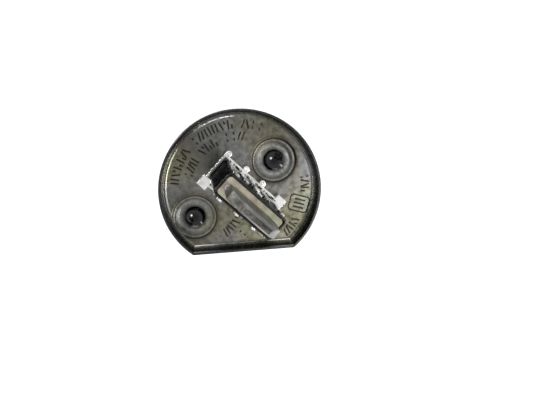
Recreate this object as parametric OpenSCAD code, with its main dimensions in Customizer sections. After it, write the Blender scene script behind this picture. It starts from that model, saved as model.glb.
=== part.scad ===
// Halogen headlight bulb with a round sheet-metal cap, one rear blade and an axial filament.
// Frame: origin on the bulb's axis in the flange's front (seating) plane, +Z towards the rear
// blade, the quartz envelope hangs towards -Z, the flat of the flange faces -Y. Millimetres.

/* [Flange] */
// Outer diameter of the flange at its rim
flange_d = 14.5; // [14.3:0.1:14.6]
// Distance from the axis to the flat that keys the bulb
flat_y = 5.58; // [5.4:0.02:5.8]
// Height of the rim above the seating plane
rim_h = 1.6; // [1.4:0.1:1.8]
// Thickness of the flange's web
web_t = 0.5; // [0.45:0.05:0.6]
// Thickness of the rim's wall at its edge
rim_t = 0.28; // [0.25:0.01:0.34]
// How far the rim leans outwards over its height
rim_lean = 0.2; // [0.1:0.01:0.24]
// Depth of the stamped marks
stamp_depth = 0.06; // [0.04:0.01:0.1]

/* [Sleeve] */
// Outer diameter of the sleeve that pilots in the reflector
sleeve_d = 11; // [10.96:0.02:11.04]
// Length of the sleeve in front of the flange
sleeve_l = 8; // [7:0.5:9]
// Thickness of the sleeve's sheet
sleeve_t = 0.3; // [0.25:0.05:0.4]
// Thickness of the sleeve's base plate
base_t = 0.4; // [0.4:0.05:0.5]

/* [Rear terminal] */
// Length of the shell around the insulator
shell_l = 6.2; // [6:0.05:6.4]
// Width of the shell around the insulator
shell_w = 2.2; // [2.15:0.05:2.3]
// Height of the shell above the flange's web
shell_h = 7.2; // [6.8:0.1:7.6]
// Thickness of the shell's sheet
shell_t = 0.15; // [0.12:0.01:0.2]
// Width of the blade
blade_w = 4.8; // [4.7:0.1:4.9]
// Thickness of the blade
blade_t = 0.8; // [0.75:0.05:0.85]
// Height of the blade above the insulator
blade_h = 4.8; // [4.6:0.1:5.4]

/* [Quartz envelope] */
// Outer diameter of the quartz tube
tube_d = 8.8; // [8.8:0.1:9.2]
// Wall of the quartz tube
tube_wall = 0.9; // [0.8:0.1:1.1]
// Distance from the seating plane to the front of the sealed tip
envelope_l = 36.8; // [36.4:0.2:40]
// Width of the pinch seal
pinch_w = 8.4; // [8:0.1:8.4]
// Thickness of the pinch seal
pinch_t = 3.2; // [3:0.1:3.3]

/* [Filament] */
// Distance from the seating plane to the middle of the filament
light_centre = 25; // [24.9:0.05:25.1]
// Length of the coil
coil_l = 5; // [4.6:0.1:5.4]
// Outer diameter of the coil
coil_d = 1.4; // [1.2:0.1:1.6]
// Diameter of the tungsten wire
wire_d = 0.22; // [0.2:0.01:0.25]
// Number of turns
coil_turns = 12; // [10:1:13]

/* [Hidden] */

$fn = 64;
eps = 0.01;
over = 1;                         // how far a cutter runs past the solid it cuts
flange_r = flange_d / 2;
sleeve_r = sleeve_d / 2;
rim_corner = 0.4;                 // outer radius between the seating face and the rim
rim_fillet = 0.25;                // inner radius between the web and the rim
rim_edge = 0.08;                  // chamfer on the rim's edge
seat_recess = 0.05;               // the sleeve's base sits this deep in the flange, which
                                  // leaves the seating face as a ring
sleeve_lip = 0.14;                // radius of the sleeve's rolled front edge
block_turn = -45;                 // the blade's plane is turned by this from the flat
block_at = [0.27, 0.07];          // middle of the rear block in the turned frame
shell_r = 0.35;                   // corner radius of the shell in plan
slot_gap = 0.075;                 // room round the top of the insulator
insulator_l = shell_l - 2 * shell_t;
insulator_w = shell_w - 2 * shell_t;
insulator_r = shell_r - shell_t;
insulator_low = -1.1;             // lower end of the insulator, inside the sleeve
insulator_top = web_t + shell_h - 0.1;
blade_low = 4.2;                  // lower end of the blade's root, in the insulator

// Pits pressed into the web beside the rear block
pit_at = [[-4.2, -2.35], [3.2, 2.38]];
pit_r = 0.98;
ring_rs = [2.12, 1.68];           // radii of the two shallow steps round a pit
step_d = 0.1;
step_slope = 0.26;                // width of each step's slope
pit_floor = web_t - 2 * step_d;   // level of the land round a pit
pit_low = -0.15;
pit_skin = 0.1;
bump_reach = sleeve_r - 0.06;      // how far from the axis a pit's bump may come
pit_ball = (pit_r * pit_r + pow(pit_floor - pit_low, 2)) / (2 * (pit_floor - pit_low));

// Pinch seal and what lies in it
pinch_low = -16.5;
pinch_high = -2.4;
tube_r = tube_d / 2;
bore_r = tube_r - tube_wall;
shoulder_z = -18.5;               // centre of the rounded end next to the pinch
tip_r = 0.9;
tip_root = [1.6, 1.4];            // radius and height of the cone behind the tip
pinch_r = 0.6;                    // corner radius of the pinch in plan
pinch_dent = [4.6, 0.3];          // width and depth of the shallow panel on each side
pinch_dent_low = -13.4;
pinch_rib = 0.9;                  // thick rib left at the rear end of the pinch
dome_z = -(envelope_l - 1.3 - tube_r);   // centre of the rounded front end
lead_r = 0.25;
pin_r = 0.4;
lead_u = 1.9;                     // distance of each lead-in from the axis
foil_w = 2.2;
foil_t = 0.06;
foil_low = -12.6;
foil_high = -5.6;
lead_in_foil = 1.4;               // overlap of a wire with its foil
lead_v = foil_t / 2 + lead_r;
pin_v = -foil_t / 2 - pin_r;
coil_r = (coil_d - wire_d) / 2;
coil_top = -light_centre + coil_l / 2;
coil_bottom = -light_centre - coil_l / 2;
lead_gap = 0.25;                  // from the coil's end to the lead-in beside it
lead_bite = 0.2;                  // how far a lead-in passes the coil's wire
coil_leg = 0.5;                   // straight end of the coil's wire
clip_t = 0.25;
clip_r = 0.85;                    // outer corner radius of the clip's sleeve
clip_window = [2.6, 3, 3.2];      // its width, and the sheet left below and above it
clip_foot_w = 1.6;
clip_low = -12.5;
clip_high = -4;
wing_u = 3;                       // distance of the clip's wings from the axis
wing_low = -7.6;

// A plate with four round corners, drawn with true arcs
module rounded_plate(l, w, h, r) {
    linear_extrude(height = h) {
        square([l, w - 2 * r], center = true);
        square([l - 2 * r, w], center = true);
        for (x = [-1, 1], y = [-1, 1])
            translate([x * (l / 2 - r), y * (w / 2 - r)]) circle(r = r);
    }
}

// A box given by its middle in x and y and its two levels in z
module bar(l, w, z0, z1) {
    translate([-l / 2, -w / 2, z0]) cube([l, w, z1 - z0]);
}

// A round wire along z
module wire(r, z0, z1) {
    translate([0, 0, z0]) cylinder(r = r, h = z1 - z0);
}

// Turns what is drawn along x to the direction of the pinch and the blade
module turned() { rotate([0, 0, block_turn]) children(); }

// The same, and moved to the middle of the rear block
module in_block() { turned() translate(block_at) children(); }

/* ---- Stamped marks: plain bars and ticks, no lettering ---- */
stamp_h = 0.8;
stamp_w = 0.14;

// One stroke of a mark: length, lean in degrees, place
module stroke(len, lean, x = 0, y = 0) {
    translate([x, y]) rotate([0, 0, lean])
        bar(stamp_w, len, web_t - stamp_depth, web_t + over);
}

// Six kinds of mark, made of upright and leaning bars that don't touch each other; the places
// are millimetres from the mark's middle
module mark(kind) {
    if (kind == 0) for (x = [-0.17, 0.17]) stroke(stamp_h, 0, x);
    if (kind == 1) for (x = [-0.17, 0.17]) stroke(stamp_h, -20, x);
    if (kind == 2) for (y = [-0.27, 0.27]) stroke(0.22, 0, 0, y);
    if (kind == 3) for (s = [-1, 1]) stroke(stamp_h, s * 16, s * 0.2);
    if (kind == 4) { stroke(stamp_h, 0, -0.15); stroke(0.4, 0, 0.17, -0.2); }
    if (kind == 5) { stroke(stamp_h, 18, -0.1); stroke(0.3, 18, 0.24, 0.22); }
}

// A row of marks on an arc round the axis, leaving out the places in gaps
module arc_row(r, from, to, count, gaps, first) {
    for (i = [0 : count - 1])
        if (len(search(i, gaps)) == 0)
            rotate([0, 0, from + (to - from) * i / (count - 1) - 90])
                translate([0, r]) mark((first + i * 5 + floor(i / 3)) % 6);
}

// A framed mark: a rounded outline with three bars in it
module framed_mark() {
    difference() {
        translate([0, 0, web_t - stamp_depth]) rounded_plate(1.6, 1.9, over, 0.35);
        translate([0, 0, web_t - over]) rounded_plate(1.36, 1.66, 2 * over, 0.24);
    }
    for (x = [-0.36, 0, 0.36]) stroke(1, 0, x);
}

module stamps() {
    arc_row(5.85, 170, 69, 16, [5, 12], 0);
    arc_row(4.75, 161, 86, 11, [3, 7], 2);
    arc_row(5.9, -46, -34, 3, [], 1);
    rotate([0, 0, -18 - 90]) translate([0, 5.6]) framed_mark();
    arc_row(5.95, -4, 7, 3, [], 4);
    turned() {
        for (i = [0 : 3]) translate([1.75, -3.75 + i * 0.66]) rotate([0, 0, 90]) mark((i * 5 + 1) % 6);
        translate([2.95, -2.9]) rotate([0, 0, 90]) mark(2);
    }
}

/* ---- Flange ---- */
// Outer shape of the pan: a leaning wall over a rounded front corner
module pan_outside() {
    foot_r = flange_r - rim_lean;
    intersection() {
        rotate_extrude() {
            polygon([[0, 0], [foot_r - rim_corner, 0], [foot_r, rim_corner],
                     [flange_r, rim_h - rim_edge], [flange_r - rim_edge, rim_h], [0, rim_h]]);
            translate([foot_r - rim_corner, rim_corner]) circle(r = rim_corner);
        }
        translate([-flange_r, -flat_y, -over]) cube([flange_d, flange_d, rim_h + 2 * over]);
    }
}

// Inside of the pan: the wall leans outwards and meets the web in a fillet
module pan_inside() {
    top_r = flange_r - rim_t;
    low_r = top_r - rim_lean;
    flat_in = -flat_y + rim_t;
    flat_low = flat_in + rim_lean;
    intersection() {
        rotate_extrude() difference() {
            polygon([[0, web_t], [low_r, web_t], [top_r, rim_h - rim_edge],
                     [top_r + rim_edge, rim_h], [top_r + rim_edge, rim_h + over],
                     [0, rim_h + over]]);
            difference() {
                translate([low_r - rim_fillet, web_t - eps]) square([rim_fillet + over, rim_fillet]);
                translate([low_r - rim_fillet, web_t + rim_fillet]) circle(r = rim_fillet);
            }
        }
        // the flat's inner face, leaning like the rest of the wall, with its own fillet
        rotate([90, 0, 90]) linear_extrude(height = flange_d, center = true) difference() {
            polygon([[flat_low, web_t], [flat_in, rim_h - rim_edge],
                     [flat_in - rim_edge, rim_h], [flat_in - rim_edge, rim_h + over],
                     [flange_r, rim_h + over], [flange_r, web_t]]);
            difference() {
                translate([flat_in - over, web_t - eps])
                    square([over + rim_fillet + rim_lean, rim_fillet]);
                translate([flat_low + rim_fillet, web_t + rim_fillet]) circle(r = rim_fillet);
            }
        }
    }
}

// Steps and bowl of one pit, cut from the web's rear face
module pit_cut() {
    for (i = [0, 1]) translate([0, 0, web_t - (i + 1) * step_d])
        cylinder(r1 = ring_rs[i] - step_slope, r2 = ring_rs[i] + eps, h = step_d + eps);
    translate([0, 0, pit_floor]) cylinder(r = ring_rs[1] - step_slope, h = over);
    translate([0, 0, web_t - step_d]) cylinder(r = ring_rs[0] - step_slope, h = over);
    translate([0, 0, pit_low + pit_ball]) sphere(r = pit_ball);
}

// The bump that a pit's bowl makes under the web
module pit_bump() {
    intersection() {
        translate([0, 0, pit_low + pit_ball]) sphere(r = pit_ball + pit_skin);
        translate([0, 0, -over]) cylinder(r = pit_r + 0.2, h = over + pit_floor);
    }
}

// Both bumps, kept inside the sleeve's outline where they pass the seating plane
module pit_bumps() {
    intersection() {
        for (p = pit_at) translate(p) pit_bump();
        union() {
            wire(bump_reach, -over, over);
            wire(flange_r, seat_recess, over);
        }
    }
}

module flange() {
    color([0.45, 0.44, 0.42]) difference() {
        union() {
            difference() {
                pan_outside();
                pan_inside();
                wire(sleeve_r, -over, seat_recess);
            }
            pit_bumps();
        }
        for (p = pit_at) translate(p) intersection() {
            pit_cut();
            translate([0, 0, -over]) cylinder(r = ring_rs[0] + eps, h = web_t + over + eps);
        }
        in_block() translate([0, 0, -over]) rounded_plate(insulator_l, insulator_w, 2 * over, insulator_r);
        stamps();
    }
}

/* ---- Sleeve in front of the flange ---- */
module sleeve() {
    color([0.72, 0.72, 0.7]) {
        difference() {
            wire(sleeve_r, -sleeve_l, seat_recess);
            wire(sleeve_r - sleeve_t, -sleeve_l - over, -base_t);
            in_block() translate([0, 0, -base_t - over])
                rounded_plate(insulator_l, insulator_w, 2 * over, insulator_r);
            pit_bumps();
        }
        // rolled front edge, turned inwards
        translate([0, 0, -sleeve_l + sleeve_lip]) rotate_extrude()
            translate([sleeve_r - sleeve_t - sleeve_lip / 2, 0]) circle(r = sleeve_lip);
    }
}

/* ---- Rear block ---- */
module rear_shell() {
    color([0.16, 0.17, 0.2]) in_block() difference() {
        translate([0, 0, web_t]) rounded_plate(shell_l, shell_w, shell_h, shell_r);
        translate([0, 0, web_t - over])
            rounded_plate(insulator_l, insulator_w, shell_h + 2 * over, insulator_r);
    }
}

blade_root_w = 3.8;
blade_u = -0.05;                   // offset of the blade along the block
shoulder_h = 0.4;                 // height of the blade's shoulders above the insulator
blade_bevel = [0.95, 1.8];        // how far the tip's corners are cut back, across and down
blade_point = 0.7;                // height over which the tip gets thin
neck_h = 0.7;                     // top part of the insulator that stands clear of the shell
link_from = -2.8;                 // ends of the live link along the block
link_to = 0.35;
link_t = 0.25;
link_w = 0.9;
link_z = blade_low - link_t;
pin_pocket = [1.5, 3, 0.6];       // room for the earth pin's end and its strap

module insulator() {
    neck_z = insulator_top - neck_h;
    color([0.78, 0.73, 0.62]) difference() {
        in_block() union() {
            translate([0, 0, insulator_low])
                rounded_plate(insulator_l, insulator_w, neck_z - insulator_low, insulator_r);
            translate([0, 0, neck_z - eps]) rounded_plate(insulator_l - 2 * slot_gap,
                insulator_w - 2 * slot_gap, insulator_top - neck_z + eps, insulator_r + 0.1);
        }
        blade_solid();
        live_link_solid();
        live_pin_solid();
        turned() translate([lead_u, 0, 0])
            bar(pin_pocket[0], pin_pocket[1], insulator_low - over, insulator_low + pin_pocket[2]);
    }
}

// Blade: a wide tongue on a narrower root, with a bevelled tip
module blade_solid() {
    tip_z = insulator_top + blade_h;
    side_z = tip_z - blade_bevel[1];
    shoulder_z = insulator_top + shoulder_h;
    in_block() translate([blade_u, 0, 0]) intersection() {
        rotate([90, 0, 0]) linear_extrude(height = blade_t, center = true) polygon([
            [-blade_root_w / 2, blade_low], [blade_root_w / 2, blade_low],
            [blade_root_w / 2, shoulder_z], [blade_w / 2, shoulder_z],
            [blade_w / 2, side_z], [blade_w / 2 - blade_bevel[0], tip_z],
            [-blade_w / 2 + blade_bevel[0], tip_z], [-blade_w / 2, side_z],
            [-blade_w / 2, shoulder_z], [-blade_root_w / 2, shoulder_z]]);
        rotate([90, 0, 90]) linear_extrude(height = 2 * blade_w, center = true) polygon([
            [-blade_t / 2, 0], [blade_t / 2, 0], [blade_t / 2, tip_z - blade_point],
            [blade_t / 4, tip_z], [-blade_t / 4, tip_z], [-blade_t / 2, tip_z - blade_point]]);
    }
}

module blade() { color([0.8, 0.8, 0.78]) blade_solid(); }

// Strip that joins the live pin to the foot of the blade, inside the insulator
module live_link_solid() {
    in_block() translate([(link_from + link_to) / 2, 0, 0])
        bar(link_to - link_from, link_w, link_z, link_z + link_t);
}

module live_link() {
    color([0.75, 0.74, 0.7]) difference() { live_link_solid(); live_pin_solid(); }
}

/* ---- Retainer: a comb of sheet metal round the foot of the shell ---- */
frame_t = 0.22;
frame_from = -3.1;
frame_to = 3.85;
frame_mid = -0.1;                 // middle of the frame across the block
frame_v = 1.62;                   // from there to the outer edge of a long rail
foot_reach = 1.97;                // and to the end of a foot
foot_w = 0.5;
frame_stations = [-2.9, -0.77, 1.25, 3.4];
rail_w = 0.24;
slot_end = 0.1;                   // sheet left between a foot and the slot beside it
lug_us = [-2.85, 3.4];            // places of the two lugs along the frame
lug_v = 1.5;
lug_size = [0.95, 1.05];
lug_t = 0.5;
finger_t = 0.14;
finger_w = 0.62;
finger_h = 6.4;
fingers_from = -2.2;
fingers_to = 2.75;
finger_drop = 1.3;                // every second finger is shorter by this
tie_low = 2.6;                    // crossbar that joins the fingers
tie_high = 3.3;
band_h = 0.8;                     // band at the foot of the fingers

module retainer_frame() {
    shell_v = shell_w / 2;
    fingers_l = fingers_to - fingers_from;
    fingers_mid = (fingers_to + fingers_from) / 2;
    color([0.86, 0.86, 0.84]) turned() {
        // base plate, open round the shell and between the rails and the fingers
        difference() {
            translate([(frame_from + frame_to) / 2, frame_mid])
                bar(frame_to - frame_from, 2 * frame_v, web_t, web_t + frame_t);
            translate(block_at) translate([0, 0, web_t - over])
                rounded_plate(shell_l, shell_w, 2 * over, shell_r);
            for (s = [-1, 1], i = [0 : 2]) {
                u0 = frame_stations[i] + foot_w / 2 + slot_end;
                u1 = frame_stations[i + 1] - foot_w / 2 - slot_end;
                v0 = block_at[1] + s * (shell_v - finger_t / 3);
                v1 = frame_mid + s * (frame_v - rail_w);
                translate([(u0 + u1) / 2, (v0 + v1) / 2])
                    bar(u1 - u0, abs(v1 - v0), web_t - over, web_t + over);
            }
        }
        // feet that reach past the rails
        for (s = [-1, 1], u = frame_stations)
            translate([u, frame_mid + s * (frame_v - rail_w / 2 + foot_reach) / 2])
                bar(foot_w, foot_reach - frame_v + rail_w / 2, web_t, web_t + frame_t);
        // two raised lugs at opposite corners
        for (i = [0, 1]) translate([lug_us[i], frame_mid + (2 * i - 1) * lug_v])
            bar(lug_size[0], lug_size[1], web_t, web_t + lug_t);
        // fingers that grip the shell's long sides, tied together half way up
        for (s = [-1, 1]) translate([0, block_at[1] + s * (shell_v + finger_t / 2)]) {
            for (i = [0 : 4]) translate([fingers_from + fingers_l * i / 4, 0])
                bar(finger_w, finger_t, web_t, web_t + finger_h - (i % 2) * finger_drop);
            translate([fingers_mid, 0])
                bar(fingers_l, finger_t, web_t + tie_low, web_t + tie_high);
            translate([fingers_mid, s * finger_t * 2 / 3])
                bar(fingers_l + finger_w, finger_t, web_t, web_t + band_h);
        }
    }
}

/* ---- Quartz envelope ---- */
module pinch_inserts() {
    live_pin_solid();
    earth_pin_solid();
    live_foil_solid();
    earth_foil_solid();
    long_lead_solid();
    short_lead_solid();
}

module envelope() {
    color([0.85, 0.93, 0.96, 0.45]) difference() {
        union() {
            wire(tube_r, dome_z, shoulder_z);
            translate([0, 0, dome_z]) sphere(r = tube_r);
            translate([0, 0, shoulder_z]) sphere(r = tube_r);
            // sealed tip where the tube was pumped and melted off
            translate([0, 0, -envelope_l + tip_r]) sphere(r = tip_r);
            translate([0, 0, -envelope_l + tip_r])
                cylinder(r1 = tip_r, r2 = tip_root[0], h = tip_root[1]);
            turned() difference() {
                translate([0, 0, pinch_low])
                    rounded_plate(pinch_w, pinch_t, pinch_high - pinch_low, pinch_r);
                for (s = [-1, 1]) translate([0, s * pinch_t / 2])
                    bar(pinch_dent[0], 2 * pinch_dent[1], pinch_dent_low, pinch_high - pinch_rib);
            }
        }
        wire(bore_r, dome_z, shoulder_z);
        translate([0, 0, dome_z]) sphere(r = bore_r);
        translate([0, 0, shoulder_z]) sphere(r = bore_r);
        pinch_inserts();
    }
}

// Lead-ins: straight wires from the foils, with an elbow in to the axis at the coil's ends
module lead_solid(side, z_end) {
    turned() translate([side * lead_u, lead_v]) {
        wire(lead_r, z_end, foil_low + lead_in_foil);
        translate([0, 0, z_end]) sphere(r = lead_r);
    }
    turned() translate([side * lead_u, lead_v, z_end]) rotate([0, -side * 90, 0])
        cylinder(r = lead_r, h = lead_u - coil_r + lead_bite);
}

module long_lead_solid() { lead_solid(1, coil_bottom - lead_r - wire_d / 2 - lead_gap); }
module short_lead_solid() { lead_solid(-1, coil_top + lead_r + wire_d / 2 + lead_gap); }
module long_lead_in() { color([0.6, 0.6, 0.62]) long_lead_solid(); }
module short_lead_in() { color([0.6, 0.6, 0.62]) short_lead_solid(); }

// Molybdenum foils in the pinch
module foil_solid(side) {
    turned() translate([side * lead_u, 0]) bar(foil_w, foil_t, foil_low, foil_high);
}
module live_foil_solid() { foil_solid(-1); }
module earth_foil_solid() { foil_solid(1); }
module live_foil() { color([0.55, 0.55, 0.58]) live_foil_solid(); }
module earth_foil() { color([0.55, 0.55, 0.58]) earth_foil_solid(); }

// Outer pins: the live one passes through the insulator, the earth one ends under it
module live_pin_solid() {
    turned() translate([-lead_u, pin_v]) wire(pin_r, foil_high - lead_in_foil, link_z + link_t);
}
module earth_pin_solid() {
    turned() translate([lead_u, pin_v]) wire(pin_r, foil_high - lead_in_foil, insulator_low - 0.1);
}
module live_pin() { color([0.7, 0.7, 0.68]) live_pin_solid(); }
module earth_pin() { color([0.7, 0.7, 0.68]) earth_pin_solid(); }

// Strap from the earth pin to the underside of the sleeve's base plate
module earth_strap() {
    reach = 2.4;                  // from the pinch's plane to the bend
    t = 0.25;
    w = 1.1;
    tail = 0.5;                   // past the pin
    tab = 1;                      // welded to the base plate
    z0 = insulator_low - 0.35;
    color([0.75, 0.74, 0.7]) difference() {
        turned() translate([lead_u, 0]) {
            translate([0, (reach + pin_v - tail) / 2]) bar(w, reach - pin_v + tail, z0, z0 + t);
            translate([0, reach - t / 2]) bar(w, t, z0, -base_t);
            translate([0, reach - 0.1 + tab / 2]) bar(w, tab, -base_t - t, -base_t);
        }
        earth_pin_solid();
    }
}

// Coil: a wire swept along a helix on the axis, with a straight leg at each end
coil_sides = 6;
coil_steps = 14;                  // rings of points in one turn
coil_rings = coil_turns * coil_steps;
function coil_at(i) = let (a = 360 * i / coil_steps)
    [coil_r * cos(a), coil_r * sin(a), coil_bottom + coil_l * i / coil_rings];
function coil_ring(i) = let (a = 360 * i / coil_steps, p = coil_at(i))
    [for (k = [0 : coil_sides - 1]) let (b = 360 * k / coil_sides, r = wire_d / 2)
        p + r * cos(b) * [cos(a), sin(a), 0] + [0, 0, r * sin(b)]];

module filament() {
    points = [for (i = [0 : coil_rings]) each coil_ring(i)];
    n = coil_sides;
    sides = [for (i = [0 : coil_rings - 1], k = [0 : n - 1]) let (j = (k + 1) % n)
        [i * n + k, i * n + j, (i + 1) * n + j, (i + 1) * n + k]];
    first = [for (k = [n - 1 : -1 : 0]) k];
    last = [for (k = [0 : n - 1]) coil_rings * n + k];
    color([0.45, 0.45, 0.47]) {
        turned() polyhedron(points, concat(sides, [first, last]));
        turned() for (z = [coil_bottom, coil_top]) translate([coil_r, 0])
            wire(wire_d / 2, min(z, z + sign(z + light_centre) * coil_leg),
                 max(z, z + sign(z + light_centre) * coil_leg));
    }
}

/* ---- Clip that holds the pinch in the sleeve ---- */
module pinch_clip() {
    inner_r = sleeve_r - sleeve_t;
    color([0.66, 0.66, 0.66]) {
        turned() difference() {
            translate([0, 0, clip_low])
                rounded_plate(pinch_w + 2 * clip_t, pinch_t + 2 * clip_t, clip_high - clip_low,
                              clip_r);
            translate([0, 0, clip_low - over])
                rounded_plate(pinch_w, pinch_t, clip_high - clip_low + 2 * over, pinch_r);
            for (s = [-1, 1]) translate([0, s * (pinch_t + clip_t) / 2])
                bar(clip_window[0], 2 * clip_t, clip_low + clip_window[1],
                    clip_high - clip_window[2]);
        }
        // wings to the sleeve's wall
        turned() for (u = [-wing_u, wing_u], v = [-1, 1]) {
            v0 = pinch_t / 2 + clip_t;
            v1 = sqrt(pow(inner_r - clip_t / 2, 2) - pow(wing_u + clip_t / 2, 2));
            translate([u, v * (v0 + v1 - 0.1) / 2]) bar(clip_t, v1 - v0 + 0.1, wing_low, clip_high);
        }
        // curved feet welded to the sleeve
        intersection() {
            difference() {
                wire(inner_r, wing_low, clip_high);
                wire(inner_r - clip_t, wing_low - over, clip_high + over);
            }
            turned() for (s = [-1, 1], v = [-1, 1]) translate([s * (wing_u - 0.4), v * inner_r])
                bar(clip_foot_w, inner_r, wing_low - over, clip_high + over);
        }
    }
}

envelope();
filament();
long_lead_in();
short_lead_in();
live_foil();
earth_foil();
live_pin();
earth_pin();
pinch_clip();
sleeve();
flange();
retainer_frame();
rear_shell();
insulator();
blade();
live_link();
earth_strap();
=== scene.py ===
"""Looks of a halogen headlight bulb, seen from its terminal side. Metres, in the CAD's frame."""
import math

import bpy
from mathutils import Matrix, Vector


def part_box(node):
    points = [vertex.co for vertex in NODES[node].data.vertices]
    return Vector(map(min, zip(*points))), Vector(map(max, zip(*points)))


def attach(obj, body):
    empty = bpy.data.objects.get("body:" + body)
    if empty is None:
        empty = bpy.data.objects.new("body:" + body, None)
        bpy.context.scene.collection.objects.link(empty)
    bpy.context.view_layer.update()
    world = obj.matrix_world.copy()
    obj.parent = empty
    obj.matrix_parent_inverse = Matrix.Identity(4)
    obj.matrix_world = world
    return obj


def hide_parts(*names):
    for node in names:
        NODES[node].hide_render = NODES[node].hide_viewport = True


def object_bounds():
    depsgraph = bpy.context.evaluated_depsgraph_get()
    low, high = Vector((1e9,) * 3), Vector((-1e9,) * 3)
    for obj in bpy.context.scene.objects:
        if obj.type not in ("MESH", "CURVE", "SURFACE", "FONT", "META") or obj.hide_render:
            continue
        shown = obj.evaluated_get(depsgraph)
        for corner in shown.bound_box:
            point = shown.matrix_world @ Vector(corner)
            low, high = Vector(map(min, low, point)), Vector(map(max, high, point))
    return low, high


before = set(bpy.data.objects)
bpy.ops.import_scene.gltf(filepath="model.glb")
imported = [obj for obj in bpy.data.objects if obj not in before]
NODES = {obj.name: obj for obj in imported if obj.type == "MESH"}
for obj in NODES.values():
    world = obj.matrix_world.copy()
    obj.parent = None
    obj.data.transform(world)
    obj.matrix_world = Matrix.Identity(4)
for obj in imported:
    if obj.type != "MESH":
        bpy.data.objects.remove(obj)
cad_low, cad_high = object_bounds()

MM = 0.001


def middle(node):
    """Middle of a CAD node's box."""
    node_low, node_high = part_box(node)
    return (node_low + node_high) / 2


# Levels and places of the cap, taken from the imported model
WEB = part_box("rear_shell")[0].z            # rear face of the flange's web
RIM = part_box("flange")[1].z                # edge of the flange's rim
BLOCK_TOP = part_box("insulator")[1].z       # rear face of the insulator
TURN = math.radians(-45)                   # the block's long side, turned from +X
U = Vector((math.cos(TURN), math.sin(TURN), 0))
V = Vector((-math.sin(TURN), math.cos(TURN), 0))
Z = Vector((0, 0, 1))
BLOCK = middle("rear_shell")               # the rear block's middle, in plan
BLOCK.z = 0
PITS = [Vector((-4.2, -2.35, 0)) * MM, Vector((3.2, 2.38, 0)) * MM]

# Camera: where it stands from the flange, and how far from its aim it sees the flange
CAMERA_TILT = math.radians(12)             # away from the bulb's axis
CAMERA_TURN = math.radians(110.1)          # round the bulb's axis, from +X
CAMERA_AWAY = 58 * MM
SENSOR_MM = 36
LENS_MM = 41.98
FLANGE_LEFT = math.radians(3.418)
FLANGE_UP = math.radians(1.667)
AXIS_LEAN = math.radians(-66.41)           # how the bulb's +Z points in the picture, from right

# Soft boxes: metres right of, above and in front of the bulb as the camera sees it, size, watts
SOFT_BOXES = {
    "key": ((0.11, -0.10, 0.16), (0.05, 0.05), 0.24),
    "strip": ((-0.16, 0.10, 0.08), (0.02, 0.12), 0.16),
    "top": ((0.0, 0.20, 0.10), (0.16, 0.05), 0.10),
}

# Surroundings: white from below up to the first share of the height, and grey from the second
SKY_STRENGTH = 1.05
SKY_WHITE = (0.86, (1, 1, 1, 1))
SKY_GREY = (0.975, (0.52, 0.52, 0.53, 1))

FLOOR_REACH = 3.0
FLOOR_GAP = 0.2 * MM                       # from the floor to the bulb's tip
FLOOR_GLOW = 0.14


# ---------------------------------------------------------------- camera

def picture_axes():
    """Right, up and towards-the-camera directions at the flange."""
    towards = Vector((math.cos(CAMERA_TURN) * math.sin(CAMERA_TILT),
                      math.sin(CAMERA_TURN) * math.sin(CAMERA_TILT),
                      math.cos(CAMERA_TILT)))
    fall = (Z - towards * towards.z).normalized()
    side = towards.cross(fall)
    right = fall * math.cos(AXIS_LEAN) - side * math.sin(AXIS_LEAN)
    up = fall * math.sin(AXIS_LEAN) + side * math.cos(AXIS_LEAN)
    return right, up, towards


def make_camera():
    right, up, towards = picture_axes()
    ray = Vector((-math.tan(FLANGE_LEFT), math.tan(FLANGE_UP), -1))
    aim = ray.rotation_difference(-Z).to_matrix()
    axes = Matrix((right, up, towards)).transposed()
    data = bpy.data.cameras.new("camera")
    data.sensor_width = SENSOR_MM
    data.lens = LENS_MM
    data.clip_start = 1 * MM
    data.clip_end = 10
    camera = bpy.data.objects.new("camera", data)
    camera.matrix_world = (axes @ aim).to_4x4()
    camera.location = Z * RIM + towards * CAMERA_AWAY
    bpy.context.scene.collection.objects.link(camera)
    bpy.context.scene.camera = camera


# ---------------------------------------------------------------- lights and floor

def area_light(name, place, size, watts):
    """A rectangular light that shines at the middle of the flange."""
    data = bpy.data.lights.new(name, "AREA")
    data.shape = "RECTANGLE"
    data.size, data.size_y = size
    data.energy = watts
    light = bpy.data.objects.new(name, data)
    light.location = place
    light.rotation_euler = (-place).to_track_quat("-Z", "Y").to_euler()
    bpy.context.scene.collection.objects.link(light)


def make_lights():
    right, up, towards = picture_axes()
    for name, (place, size, watts) in SOFT_BOXES.items():
        across, above, before = place
        area_light(name, right * across + up * above + towards * before, size, watts)


def make_surroundings():
    world = bpy.data.worlds.new("studio")
    world.use_nodes = True
    nodes, links = world.node_tree.nodes, world.node_tree.links
    background = nodes["Background"]
    coords = nodes.new("ShaderNodeTexCoord")
    split = nodes.new("ShaderNodeSeparateXYZ")
    height = nodes.new("ShaderNodeMapRange")
    ramp = nodes.new("ShaderNodeValToRGB")
    links.new(coords.outputs["Generated"], split.inputs[0])
    height.inputs["From Min"].default_value = -1
    links.new(split.outputs["Z"], height.inputs["Value"])
    links.new(height.outputs[0], ramp.inputs[0])
    for stop, (place, colour) in zip(ramp.color_ramp.elements, (SKY_WHITE, SKY_GREY)):
        stop.position = place
        stop.color = colour
    links.new(ramp.outputs[0], background.inputs["Color"])
    background.inputs["Strength"].default_value = SKY_STRENGTH
    bpy.context.scene.world = world
    bpy.context.scene.view_settings.view_transform = "Standard"


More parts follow.
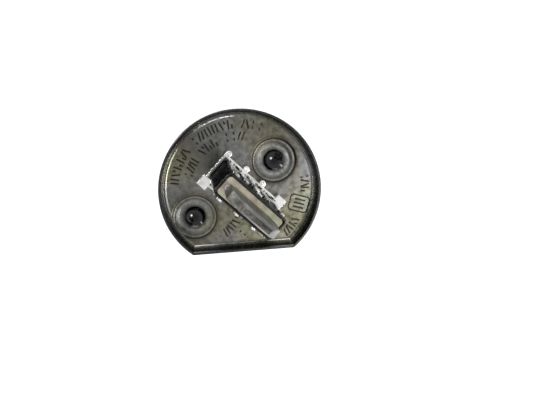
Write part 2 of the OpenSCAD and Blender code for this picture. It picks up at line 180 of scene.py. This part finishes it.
def make_floor():
    mesh = bpy.data.meshes.new("floor")
    z = cad_low.z - FLOOR_GAP
    corners = [(x * FLOOR_REACH, y * FLOOR_REACH, z)
               for x, y in ((-1, -1), (1, -1), (1, 1), (-1, 1))]
    mesh.from_pydata(corners, [], [(0, 1, 2, 3)])
    floor = bpy.data.objects.new("floor", mesh)
    bpy.context.scene.collection.objects.link(floor)
    s = Shader("floor_paper")
    tone = s.noise(scale=40, detail=2)
    s.ramp(tone, [(0, (0.90, 0.90, 0.90)), (1, (0.93, 0.93, 0.93))], "Base Color")
    s.set("Roughness", 0.9)
    s.set("Emission Color", (1, 1, 1, 1))
    s.set("Emission Strength", FLOOR_GLOW)
    mesh.materials.append(s.material)


# ---------------------------------------------------------------- shader helper

MIX_COLOUR_INPUTS = (0, 6, 7)              # a Mix node's factor and its two colours, by number
MIX_COLOUR_OUTPUT = 2
NOISE_REACH = (0.3, 0.7)                   # most of a noise's values lie between these


class Shader:
    """A Principled material built up from a few noise, ramp and bump calls, in metres."""

    def __init__(self, name, soft_edge=0.0):
        self.material = bpy.data.materials.new(name)
        self.material.use_nodes = True
        self.nodes = self.material.node_tree.nodes
        self.links = self.material.node_tree.links
        self.surface = self.nodes["Principled BSDF"]
        self.coords = self.nodes.new("ShaderNodeTexCoord").outputs["Object"]
        self.normal = None
        if soft_edge:
            bevel = self.nodes.new("ShaderNodeBevel")
            bevel.samples = 4
            bevel.inputs["Radius"].default_value = soft_edge
            self.normal = bevel.outputs[0]

    def set(self, socket, value):
        """Sets a value that is the same all over the surface."""
        self.surface.inputs[socket].default_value = value

    def stretched(self, stretch):
        """Coordinates scaled along each axis, for a grain: a small scale draws it out."""
        node = self.nodes.new("ShaderNodeMapping")
        node.inputs["Scale"].default_value = stretch
        self.links.new(self.coords, node.inputs["Vector"])
        return node.outputs[0]

    def noise(self, scale, detail=3, stretch=None, distortion=0.0):
        node = self.nodes.new("ShaderNodeTexNoise")
        node.inputs["Scale"].default_value = scale
        node.inputs["Detail"].default_value = detail
        node.inputs["Distortion"].default_value = distortion
        vector = self.stretched(stretch) if stretch else self.coords
        self.links.new(vector, node.inputs["Vector"])
        return node.outputs["Fac"]

    def cells(self, scale):
        node = self.nodes.new("ShaderNodeTexVoronoi")
        node.inputs["Scale"].default_value = scale
        self.links.new(self.coords, node.inputs["Vector"])
        return node.outputs["Distance"]

    def from_axis_at(self, place):
        """Distance from the line through a place that runs parallel to the bulb's axis."""
        flat = self.nodes.new("ShaderNodeVectorMath")
        flat.operation = "MULTIPLY"
        flat.inputs[1].default_value = (1, 1, 0)
        self.links.new(self.coords, flat.inputs[0])
        node = self.nodes.new("ShaderNodeVectorMath")
        node.operation = "DISTANCE"
        node.inputs[1].default_value = place
        self.links.new(flat.outputs[0], node.inputs[0])
        return node.outputs["Value"]

    def along(self, direction, start=0.0):
        """Distance along a direction, counted from a start."""
        node = self.nodes.new("ShaderNodeVectorMath")
        node.operation = "DOT_PRODUCT"
        node.inputs[1].default_value = direction
        self.links.new(self.coords, node.inputs[0])
        return self.calc("SUBTRACT", node.outputs["Value"], start)

    def level(self, low, high):
        """0 below one height along the axis and 1 above another."""
        split = self.nodes.new("ShaderNodeSeparateXYZ")
        self.links.new(self.coords, split.inputs[0])
        return self.spread(split.outputs["Z"], low, high)

    def over_web(self, low, high):
        """The same, with both heights in millimetres from the rear face of the flange's web."""
        return self.level(WEB + low * MM, WEB + high * MM)

    def band(self, start, full_from, full_to, end):
        """1 between two heights over the web, fading to 0 at a start and an end beyond them."""
        return self.calc("MULTIPLY", self.over_web(start, full_from), self.over_web(end, full_to))

    def facing(self, blend):
        """0 where the surface is seen square on and 1 where it is seen edge on."""
        node = self.nodes.new("ShaderNodeLayerWeight")
        node.inputs["Blend"].default_value = blend
        return node.outputs["Facing"]

    def spread(self, value, low, high, to_low=0.0, to_high=1.0):
        """Maps low..high to to_low..to_high, and holds it there outside."""
        node = self.nodes.new("ShaderNodeMapRange")
        node.inputs["From Min"].default_value = low
        node.inputs["From Max"].default_value = high
        node.inputs["To Min"].default_value = to_low
        node.inputs["To Max"].default_value = to_high
        self.links.new(value, node.inputs["Value"])
        return node.outputs[0]

    def ramp(self, value, stops, socket=None):
        """A colour for each value, from (value, colour) stops."""
        node = self.nodes.new("ShaderNodeValToRGB")
        elements = node.color_ramp.elements
        while len(elements) < len(stops):
            elements.new(0.5)
        for element, (place, colour) in zip(elements, stops):
            element.position = place
            element.color = (*colour, 1)
        self.links.new(value, node.inputs[0])
        if socket:
            self.links.new(node.outputs[0], self.surface.inputs[socket])
        return node.outputs[0]

    def mix(self, factor, a, b, blend="MIX", socket=None):
        """Lays colour b over colour a, by a factor."""
        node = self.nodes.new("ShaderNodeMix")
        node.data_type = "RGBA"
        node.blend_type = blend
        for value, place in zip((factor, a, b), MIX_COLOUR_INPUTS):
            if isinstance(value, (float, int)):
                node.inputs[place].default_value = value
            elif isinstance(value, tuple):
                node.inputs[place].default_value = (*value, 1)
            else:
                self.links.new(value, node.inputs[place])
        if socket:
            self.links.new(node.outputs[MIX_COLOUR_OUTPUT], self.surface.inputs[socket])
        return node.outputs[MIX_COLOUR_OUTPUT]

    def calc(self, operation, a, b=0.0):
        """Arithmetic on two values."""
        node = self.nodes.new("ShaderNodeMath")
        node.operation = operation
        for value, place in ((a, 0), (b, 1)):
            if isinstance(value, (float, int)):
                node.inputs[place].default_value = value
            else:
                self.links.new(value, node.inputs[place])
        return node.outputs[0]

    def rough_by(self, value, low, high):
        """Roughness from low to high over the usual reach of a noise."""
        self.links.new(self.spread(value, *NOISE_REACH, low, high), self.surface.inputs["Roughness"])

    def bump(self, value, depth, strength):
        """Small relief, laid over any that is there."""
        node = self.nodes.new("ShaderNodeBump")
        node.inputs["Distance"].default_value = depth
        node.inputs["Strength"].default_value = strength
        self.links.new(value, node.inputs["Height"])
        if self.normal:
            self.links.new(self.normal, node.inputs["Normal"])
        self.links.new(node.outputs[0], self.surface.inputs["Normal"])
        self.normal = node.outputs[0]


# ---------------------------------------------------------------- materials

def flange_steel():
    """Dull rolled sheet, mottled brown and grey by heat, with painted shade in the stamps and pits,
    a painted dark reflection on the rim and a painted highlight at its foot.

    The light and dark rings round the pits stand for reflections on the steps of the sheet.
    """
    ring_from, ring_to = 0.9 * MM, 2.6 * MM
    s = Shader("flange_steel", soft_edge=0.04 * MM)
    s.set("Metallic", 1.0)
    cloud = s.noise(260, detail=3, distortion=0.6)
    warm = s.noise(150, detail=2)
    cool = s.noise(120, detail=2, stretch=(1, 1.3, 1))
    fine = s.noise(2600, detail=4)
    grain = s.noise(9000, detail=2, stretch=(1, 0.08, 1))
    base = s.ramp(cloud, [(0.34, (0.136, 0.137, 0.128)), (0.50, (0.180, 0.183, 0.176)),
                          (0.66, (0.225, 0.232, 0.232))])
    brown = s.ramp(warm, [(0.44, (1.0, 1.0, 1.0)), (0.60, (1.0, 0.85, 0.64))])
    olive = s.ramp(cool, [(0.48, (1.0, 1.0, 1.0)), (0.64, (0.86, 0.96, 0.78))])
    base = s.mix(0.75, base, brown, "MULTIPLY")
    base = s.mix(0.80, base, olive, "MULTIPLY")
    speck = s.ramp(fine, [(0.30, (0.72, 0.72, 0.72)), (0.62, (1.0, 1.0, 1.0))])
    base = s.mix(0.7, base, speck, "MULTIPLY")
    for place in PITS:
        round_pit = s.spread(s.from_axis_at(place), ring_from, ring_to)
        rings = s.ramp(round_pit, [(0.00, (0.25, 0.25, 0.25)), (0.10, (0.55, 0.55, 0.54)),
                                   (0.22, (1.55, 1.55, 1.52)), (0.36, (1.10, 1.10, 1.08)),
                                   (0.46, (0.48, 0.46, 0.42)), (0.56, (1.25, 1.24, 1.20)),
                                   (0.66, (0.90, 0.88, 0.84)), (0.73, (0.50, 0.46, 0.40)),
                                   (0.84, (0.95, 0.86, 0.74)), (1.00, (1.0, 1.0, 1.0))])
        base = s.mix(0.85, base, rings, "MULTIPLY")
    # Painted shade: the floors of the stamps are darkened by their depth, as shade in the grooves.
    stamps = s.band(-0.09, -0.075, -0.032, -0.012)
    base = s.mix(s.calc("MULTIPLY", stamps, 0.93), base, (0.020, 0.018, 0.014))
    # Painted highlight: a light band at the foot of the rim, where its fillet catches the light.
    rim_foot_highlight = s.band(0.01, 0.04, 0.09, 0.12)
    base = s.mix(s.calc("MULTIPLY", rim_foot_highlight, 0.55), base, (0.55, 0.55, 0.54))
    # Painted dark reflection: the rim is darkened where its bent sheet reflects dark surroundings.
    rim = s.over_web(0.30, 0.75)
    base = s.mix(s.calc("MULTIPLY", rim, 0.85), base, (0.030, 0.031, 0.038))
    # Painted shade: the pit bowls are darkened by their depth.
    pit = s.over_web(-0.205, -0.30)
    s.mix(s.calc("MULTIPLY", pit, 0.92), base, (0.030, 0.030, 0.032), socket="Base Color")
    rough = s.calc("SUBTRACT", s.spread(fine, *NOISE_REACH, 0.22, 0.34),
                   s.calc("MULTIPLY", pit, 0.16))
    s.links.new(rough, s.surface.inputs["Roughness"])
    s.bump(grain, 0.004 * MM, 0.35)
    s.bump(cloud, 0.05 * MM, 0.3)
    return s.material


def bright_tin():
    """Bright tinned sheet with small scratches, dark in streaks, and with painted shade on the plate
    in its middle.

    The streaks on the upright fingers stand for the tangle of reflections in the photo.
    """
    plate_middle, plate_end = -0.1 * MM, -2.88 * MM      # across and along the block
    plate_half, fade = 1.38 * MM, (0.12 * MM, 0.10 * MM)
    s = Shader("bright_tin", soft_edge=0.06 * MM)
    s.set("Metallic", 0.7)
    blotch = s.noise(900, detail=3)
    streak = s.noise(2900, detail=2, distortion=1.2)
    scratch = s.noise(5000, detail=3, stretch=(1, 1, 0.06))
    base = s.ramp(blotch, [(0.34, (0.60, 0.59, 0.54)), (0.46, (0.92, 0.92, 0.90)),
                           (0.7, (0.98, 0.98, 0.97))])
    # Painted reflections: dark and bright streaks on the upright fingers.
    reflection_streaks = s.ramp(streak, [(0.44, (0.03, 0.03, 0.025)), (0.49, (0.42, 0.41, 0.36)),
                             (0.54, (0.98, 0.98, 0.95))])
    base = s.mix(s.over_web(0.52, 0.60), base, reflection_streaks)
    # Painted shade: the plate between the block's sides, under the fingers, is darkened as if in
    # shadow.
    aside = s.calc("ABSOLUTE", s.along(V, plate_middle))
    across = s.spread(aside, plate_half + fade[0], plate_half)
    inside = s.calc("MULTIPLY", across, s.spread(s.along(U), plate_end - fade[1], plate_end))
    plate = s.calc("MULTIPLY", inside, s.over_web(0.30, 0.24))
    s.mix(s.calc("MULTIPLY", plate, 0.85), base, (0.04, 0.04, 0.035), socket="Base Color")
    s.rough_by(blotch, 0.08, 0.20)
    s.bump(scratch, 0.003 * MM, 0.4)
    s.bump(blotch, 0.015 * MM, 0.4)
    return s.material


def dark_shell():
    """Thin glossy sheet, near-black as painted shade and dark reflection, with faint lines and faint
    light streaks that are a painted highlight.
    """
    s = Shader("dark_shell", soft_edge=0.06 * MM)
    s.set("Metallic", 1.0)
    s.set("Specular Tint", (0.12, 0.12, 0.14, 1))
    tone = s.noise(430, detail=2, distortion=1.6)
    lines = s.noise(4200, detail=2, stretch=(1, 1, 0.05))
    # Painted shade and dark reflection: the near-black tones. The light band at 0.575 is a painted
    # highlight.
    base = s.ramp(tone, [(0.44, (0.004, 0.005, 0.009)), (0.54, (0.012, 0.013, 0.022)),
                         (0.575, (0.20, 0.21, 0.23)), (0.61, (0.020, 0.021, 0.030))])
    # Painted highlight: a faint glint along the shell's rear edge.
    rear_edge_glint = s.level(BLOCK_TOP + 0.05 * MM, BLOCK_TOP + 0.09 * MM)
    s.mix(rear_edge_glint, base, (0.05, 0.05, 0.045), socket="Base Color")
    s.rough_by(tone, 0.16, 0.28)
    s.bump(lines, 0.002 * MM, 0.3)
    s.bump(tone, 0.08 * MM, 0.4)
    return s.material


def ceramic_body():
    """Matte beige ceramic, greyer towards one end, with thin stains and fine pores."""
    far_end = tuple(BLOCK - U * 4 * MM)
    s = Shader("ceramic_body", soft_edge=0.05 * MM)
    cloud = s.noise(800, detail=4)
    band = s.noise(420, detail=3, distortion=2.0)
    pores = s.cells(9000)
    base = s.ramp(cloud, [(0.30, (0.25, 0.225, 0.17)), (0.52, (0.385, 0.350, 0.270)),
                          (0.72, (0.49, 0.455, 0.365))])
    lines = s.ramp(band, [(0.46, (1, 1, 1)), (0.50, (0.66, 0.60, 0.50)), (0.54, (1, 1, 1))])
    base = s.mix(0.7, base, lines, "MULTIPLY")
    along = s.spread(s.from_axis_at(far_end), 3.0 * MM, 6.5 * MM)
    grey = s.ramp(along, [(0.2, (1, 1, 1)), (0.9, (0.62, 0.72, 0.58))])
    base = s.mix(0.8, base, grey, "MULTIPLY")
    speck = s.ramp(pores, [(0.12, (0.62, 0.60, 0.56)), (0.30, (1, 1, 1))])
    s.mix(0.6, base, speck, "MULTIPLY", "Base Color")
    s.rough_by(cloud, 0.42, 0.62)
    s.bump(pores, 0.006 * MM, 0.5)
    s.bump(band, 0.02 * MM, 0.5)
    return s.material


def blade_metal():
    """Punched strip, dull grey, with brushed faces and dark stains."""
    s = Shader("blade_tin", soft_edge=0.08 * MM)
    s.set("Metallic", 1.0)
    blotch = s.noise(520, detail=4, distortion=0.8)
    brush = s.noise(6500, detail=3, stretch=(1, 1, 0.04))
    base = s.ramp(blotch, [(0.34, (0.045, 0.044, 0.040)), (0.50, (0.130, 0.128, 0.115)),
                           (0.68, (0.260, 0.262, 0.240))])
    lines = s.ramp(brush, [(0.35, (0.60, 0.60, 0.60)), (0.6, (1, 1, 1))])
    s.mix(0.7, base, lines, "MULTIPLY", "Base Color")
    s.rough_by(brush, 0.24, 0.42)
    s.bump(brush, 0.004 * MM, 0.5)
    return s.material


def sheet_steel(name, dark, light):
    """Rolled sheet for the sleeve and the clip: drawing lines round the axis and faint stains."""
    s = Shader(name)
    s.set("Metallic", 1.0)
    stain = s.noise(220, detail=4, distortion=0.4)
    lines = s.noise(900, detail=4, stretch=(0.15, 0.15, 6))
    base = s.ramp(stain, [(0.34, dark), (0.66, light)])
    drawn = s.ramp(lines, [(0.35, (0.82, 0.82, 0.82)), (0.62, (1, 1, 1))])
    s.mix(0.8, base, drawn, "MULTIPLY", "Base Color")
    s.rough_by(lines, 0.22, 0.40)
    s.bump(lines, 0.006 * MM, 0.4)
    s.bump(stain, 0.03 * MM, 0.2)
    return s.material


def wire_metal(name, dark, light, rough):
    """Drawn wire, strip or foil with a fine grain, and roughness from one value to another."""
    s = Shader(name)
    s.set("Metallic", 1.0)
    grain = s.noise(5200, detail=3, stretch=(1, 1, 0.1))
    s.ramp(grain, [(0.35, dark), (0.65, light)], "Base Color")
    s.rough_by(grain, *rough)
    s.bump(grain, 0.003 * MM, 0.4)
    return s.material


def quartz():
    """Clear quartz, with faint drawing streaks, darker rims that are painted shade, and a frosted
    look in the pinch.
    """
    frost_from, frost_to = -17.5 * MM, -14.0 * MM
    s = Shader("quartz")
    s.set("Transmission Weight", 1.0)
    s.set("IOR", 1.458)
    streaks = s.noise(420, detail=3, stretch=(1, 1, 0.08))
    ripple = s.noise(700, detail=2)
    clear = s.ramp(streaks, [(0.3, (0.93, 0.955, 0.965)), (0.7, (0.97, 0.985, 0.99))])
    # Painted shade: the glass is darkened where it is seen edge on.
    rims = s.ramp(s.facing(0.35), [(0.15, (1, 1, 1)), (0.50, (0.62, 0.68, 0.70)),
                                   (0.85, (0.08, 0.11, 0.13))])
    s.mix(1.0, clear, rims, "MULTIPLY", "Base Color")
    pinched = s.level(frost_from, frost_to)
    rough = s.calc("ADD", s.spread(pinched, 0, 1, 0.0, 0.05),
                   s.spread(streaks, *NOISE_REACH, 0.0, 0.03))
    s.links.new(rough, s.surface.inputs["Roughness"])
    s.bump(s.calc("MULTIPLY", ripple, s.spread(pinched, 0, 1, 0.15, 1.0)), 0.05 * MM, 0.4)
    return s.material


def dress_nodes():
    """Gives every CAD node its material, and returns the materials by node."""
    nickel = wire_metal("nickel", (0.34, 0.33, 0.30), (0.54, 0.52, 0.48), (0.22, 0.38))
    molybdenum = wire_metal("molybdenum", (0.20, 0.20, 0.22), (0.36, 0.36, 0.38), (0.28, 0.44))
    tin = bright_tin()
    looks = {
        "flange": flange_steel(),
        "retainer_frame": tin,
        "rear_shell": dark_shell(),
        "insulator": ceramic_body(),
        "blade": blade_metal(),
        "sleeve": sheet_steel("sleeve_steel", (0.20, 0.195, 0.18), (0.34, 0.335, 0.32)),
        "pinch_clip": sheet_steel("clip_steel", (0.24, 0.24, 0.25), (0.40, 0.40, 0.41)),
        "envelope": quartz(),
        "filament": wire_metal("tungsten", (0.08, 0.08, 0.085), (0.18, 0.18, 0.19), (0.35, 0.51)),
        "live_link": nickel, "earth_strap": nickel, "live_pin": nickel, "earth_pin": nickel,
        "long_lead_in": molybdenum, "short_lead_in": molybdenum,
        "live_foil": molybdenum, "earth_foil": molybdenum,
    }
    for name, material in looks.items():
        mesh = NODES[name].data
        mesh.materials.clear()
        mesh.materials.append(material)
        mesh.polygons.foreach_set("material_index", [0] * len(mesh.polygons))
    return looks


# ---------------------------------------------------------------- meshes

def add_piece(name, mesh_data, material, replaces=None):
    vertices, faces = mesh_data
    mesh = bpy.data.meshes.new(name)
    mesh.from_pydata([tuple(v) for v in vertices], [], faces)
    mesh.polygons.foreach_set("use_smooth", [True] * len(mesh.polygons))
    mesh.materials.append(material)
    mesh.update()
    piece = bpy.data.objects.new(name, mesh)
    bpy.context.scene.collection.objects.link(piece)
    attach(piece, "root")
    if replaces:
        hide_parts(replaces)


def stack(rings, flip=False):
    """Closes a row of equal rings of points into one skin, with a cap at each end."""
    count = len(rings[0])
    vertices = [point for ring in rings for point in ring]
    faces = [(i * count + k, i * count + (k + 1) % count,
              (i + 1) * count + (k + 1) % count, (i + 1) * count + k)
             for i in range(len(rings) - 1) for k in range(count)]
    faces.append(tuple(range(count - 1, -1, -1)))
    faces.append(tuple((len(rings) - 1) * count + k for k in range(count)))
    if flip:
        faces = [face[::-1] for face in faces]
    return vertices, faces


def merged(parts):
    vertices, faces = [], []
    for part_vertices, part_faces in parts:
        start = len(vertices)
        vertices += part_vertices
        faces += [tuple(i + start for i in face) for face in part_faces]
    return vertices, faces


def smooth_step(value):
    value = min(max(value, 0.0), 1.0)
    return value * value * (3 - 2 * value)


def full_turn(count):
    """Cosine and sine of equal steps round a circle."""
    angles = [2 * math.pi * k / count for k in range(count)]
    return [(math.cos(angle), math.sin(angle)) for angle in angles]


def sweep(path, radius, sides=10):
    """A round wire along a path of points."""
    rings = []
    side = None
    for i, point in enumerate(path):
        ahead = (path[min(i + 1, len(path) - 1)] - path[max(i - 1, 0)]).normalized()
        side = (side - ahead * side.dot(ahead)).normalized() if side else ahead.orthogonal()
        across = ahead.cross(side)
        rings.append([point + (side * c + across * s) * radius for c, s in full_turn(sides)])
    return stack(rings)


# Radius and height of a nugget from its edge to its top, as shares of the whole
NUGGET_PROFILE = [(1.0, -0.2), (1.0, 0.25), (0.93, 0.42), (0.80, 0.46), (0.70, 0.40),
                  (0.60, 0.52), (0.42, 0.80), (0.22, 0.95), (0.04, 1.0)]


def nugget(place, radius, height, up=Z, count=24):
    """A small flattened bump on a surface, with a shallow groove round its top."""
    side = up.orthogonal().normalized()
    across = up.cross(side)
    return stack([[place + (side * c + across * s) * radius * r + up * height * h
                   for c, s in full_turn(count)] for r, h in NUGGET_PROFILE])


# ---------------------------------------------------------------- envelope, in millimetres

TUBE_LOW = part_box("envelope")[0].z / MM    # front of the sealed tip
TUBE_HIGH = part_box("envelope")[1].z / MM   # rear end of the pinch
TUBE_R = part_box("envelope")[1].x / MM
TUBE_WALL = 0.9
BORE_R = TUBE_R - TUBE_WALL
TUBE_SIDES = 96
STRAIGHT_STEPS = 8
TIP_R = 0.9
TIP_Z = TUBE_LOW + TIP_R
TIP_NECK = [(0.05, 0.90), (0.30, 0.98), (0.50, 1.22)]    # height over the tip's centre, radius
TIP_L = 1.3                                # from the tip's front to the rounded end of the tube
DOME_Z = TUBE_LOW + TIP_L + TUBE_R         # centre of the tube's rounded front end
SHOULDER_Z = -18.5                         # where the round tube starts to flatten
SHOULDER_L = 4.9
SHOULDER_STEPS = 14
PINCH_U, PINCH_V = 4.2, 1.6                # half of the pinch's width and thickness
ROUND, SQUARISH = 2.0, 7.0                 # powers of the tube's and the pinch's outlines
# Outlines of the pinch: distance from its rear end, and inset of its rounded edge
PINCH_END = [(9.6, 0), (6.6, 0), (3.6, 0), (1.0, 0), (0.3, 0), (0.1, 0.06), (0, 0.16)]
PANEL_LOW = SHOULDER_Z + SHOULDER_L        # ends of the shallow panel pressed into each flat side
PANEL_HIGH = -3.0
PANEL_U = 2.5                              # half of its width
PANEL_DEPTH = 0.28
PANEL_FADE = (0.8, 0.5, 0.4)               # slopes at its front end, its rear end and its sides
FLAT_SIDE_V = 1.0                          # points nearer to the middle are on the narrow sides


def panel(u, v, z):
    """How deep the pressed panel is at a point of the pinch."""
    if abs(v) <= FLAT_SIDE_V:
        return 0.0
    low_fade, high_fade, side_fade = PANEL_FADE
    return (PANEL_DEPTH * smooth_step((z - PANEL_LOW) / low_fade)
            * smooth_step((PANEL_HIGH - z) / high_fade)
            * smooth_step((PANEL_U - abs(u)) / side_fade))


def outline(z, half_u, half_v, power):
    """One outline of the tube at a height: round at power 2, and squarish at more."""
    ring = []
    for c, s in full_turn(TUBE_SIDES):
        u = half_u * math.copysign(abs(c) ** (2 / power), c)
        v = half_v * math.copysign(abs(s) ** (2 / power), s)
        v -= math.copysign(panel(u, v, z), v)
        ring.append((U * u + V * v + Z * z) * MM)
    return ring


def ball(centre, radius, degrees, way):
    """Heights and radii on a ball, at angles from the axis. Way is -1 in front of its centre."""
    return [(centre + way * radius * math.cos(math.radians(a)), radius * math.sin(math.radians(a)))
            for a in degrees]


def straight(radius):
    """Heights and radii of the round tube, from its rounded end to the shoulder."""
    return [(DOME_Z + (SHOULDER_Z - DOME_Z) * i / STRAIGHT_STEPS, radius)
            for i in range(1, STRAIGHT_STEPS + 1)]


def quartz_tube(material):
    """The envelope as blown: drawn-off tip, round tube, soft shoulder and flattened pinch."""
    tip = [(TIP_Z - TIP_R * math.cos(math.radians(a)), 0.02 + 0.86 * math.sin(math.radians(a)))
           for a in range(0, 90, 15)]
    neck = [(TIP_Z + rise, radius) for rise, radius in TIP_NECK]
    front = tip + neck + ball(DOME_Z, TUBE_R, range(20, 91, 7), -1) + straight(TUBE_R)
    skin = [outline(z, radius, radius, ROUND) for z, radius in front]
    for i in range(1, SHOULDER_STEPS + 1):
        t = smooth_step(i / SHOULDER_STEPS)
        skin.append(outline(SHOULDER_Z + SHOULDER_L * i / SHOULDER_STEPS,
                            TUBE_R + (PINCH_U - TUBE_R) * t, TUBE_R + (PINCH_V - TUBE_R) * t,
                            ROUND + (SQUARISH - ROUND) * t))
    for back, inset in PINCH_END:
        skin.append(outline(TUBE_HIGH - back, PINCH_U - inset, PINCH_V - inset, SQUARISH))
    hollow = (ball(DOME_Z, BORE_R, range(3, 91, 6), -1) + straight(BORE_R)
              + ball(SHOULDER_Z, BORE_R, range(84, 5, -6), 1))
    bore = [outline(z, radius, radius, ROUND) for z, radius in hollow]
    add_piece("quartz_tube", merged([stack(skin), stack(bore, flip=True)]),
              material, replaces="envelope")


# ---------------------------------------------------------------- smaller pieces, in millimetres

COIL_MIDDLE = middle("filament").z / MM
COIL_L = 5.0
COIL_R = 0.59                              # to the middle of the wire
COIL_WIRE_R = 0.1
COIL_TURNS = 12
COIL_STEPS = 30                            # points in each turn
COIL_LEG = 0.45                            # straight end beyond the helix

PIN_HEAD_U, PIN_HEAD_V = -2.45, -0.02      # from the block's middle
PIN_HEAD_R, PIN_HEAD_H = 0.30, 0.12
SPOT_TURNS = (20, 70, 110, 160, 200, 250, 290, 340)      # degrees from the block's long side
SPOT_Z = -5.8                              # half-way up the clip's wings
SPOT_R, SPOT_H = 0.34, 0.035
SINK = 0.01                                # how deep a nugget's foot sits in the sheet

HEADS_U, HEADS_V = (-2.88, -0.79, 1.17), 1.72            # feet with round heads
HEAD_R, HEAD_H, HEAD_LIFT = 0.28, 0.34, 0.2
ROLLS_U, ROLLS_V = (-0.73, 1.33, 3.35), -1.90            # feet with rolled ends
ROLL_LIFT = 0.33                           # from the web to the roll's middle
ROLL_INNER, ROLL_OUTER, ROLL_HALF = 0.12, 0.21, 0.20     # its radii and half of its width
ROLL_STEPS = 14
ROLL_FROM, ROLL_SWEEP = -90, 250           # degrees


def wound_coil(material):
    """The filament as wound: round wire on a helix, with straight legs at both ends."""
    low_z = COIL_MIDDLE - COIL_L / 2
    path = [U * COIL_R + Z * (low_z - COIL_LEG)]
    for i in range(COIL_TURNS * COIL_STEPS + 1):
        angle = 2 * math.pi * i / COIL_STEPS
        z = low_z + COIL_L * i / (COIL_TURNS * COIL_STEPS)
        path.append((U * math.cos(angle) + V * math.sin(angle)) * COIL_R + Z * z)
    path.append(U * COIL_R + Z * (low_z + COIL_L + COIL_LEG))
    add_piece("wound_coil", sweep([point * MM for point in path], COIL_WIRE_R * MM),
              material, replaces="filament")


def pin_head(material):
    """End of the live pin beside the blade's root."""
    place = BLOCK + (U * PIN_HEAD_U + V * PIN_HEAD_V - Z * SINK) * MM + Z * BLOCK_TOP
    add_piece("pin_head", nugget(place, PIN_HEAD_R * MM, PIN_HEAD_H * MM), material)


def sleeve_spots(material):
    """Spot welds round the sleeve, where the clip's wings are fixed to it."""
    sleeve_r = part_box("sleeve")[1].x
    spots = []
    for turn in SPOT_TURNS:
        angle = math.radians(turn) + TURN
        out = Vector((math.cos(angle), math.sin(angle), 0))
        place = out * (sleeve_r - SINK * MM) + Z * SPOT_Z * MM
        spots.append(nugget(place, SPOT_R * MM, SPOT_H * MM, up=out))
    add_piece("sleeve_spots", merged(spots), material)


def rolled_end(place):
    """A strip rolled up at the end of a foot."""
    section = [(ROLL_INNER, -ROLL_HALF), (ROLL_INNER, ROLL_HALF),
               (ROLL_OUTER, ROLL_HALF), (ROLL_OUTER, -ROLL_HALF)]
    rings = []
    for i in range(ROLL_STEPS + 1):
        angle = math.radians(ROLL_FROM + ROLL_SWEEP * i / ROLL_STEPS)
        out = Z * math.sin(angle) - V * math.cos(angle)
        rings.append([place + (out * radius + U * across) * MM for radius, across in section])
    return stack(rings)


def foot_ends(material):
    """Round heads pressed into the retainer's feet on one side, rolled ends on the other."""
    heads = [nugget((U * u + V * HEADS_V + Z * HEAD_LIFT) * MM + Z * WEB, HEAD_R * MM, HEAD_H * MM)
             for u in HEADS_U]
    rolls = [rolled_end((U * u + V * ROLLS_V + Z * ROLL_LIFT) * MM + Z * WEB) for u in ROLLS_U]
    add_piece("foot_ends", merged(heads + rolls), material)


# ---------------------------------------------------------------- the scene

make_camera()
make_lights()
make_surroundings()
make_floor()
looks = dress_nodes()
quartz_tube(looks["envelope"])
wound_coil(looks["filament"])
pin_head(looks["live_pin"])
sleeve_spots(looks["sleeve"])
foot_ends(looks["retainer_frame"])
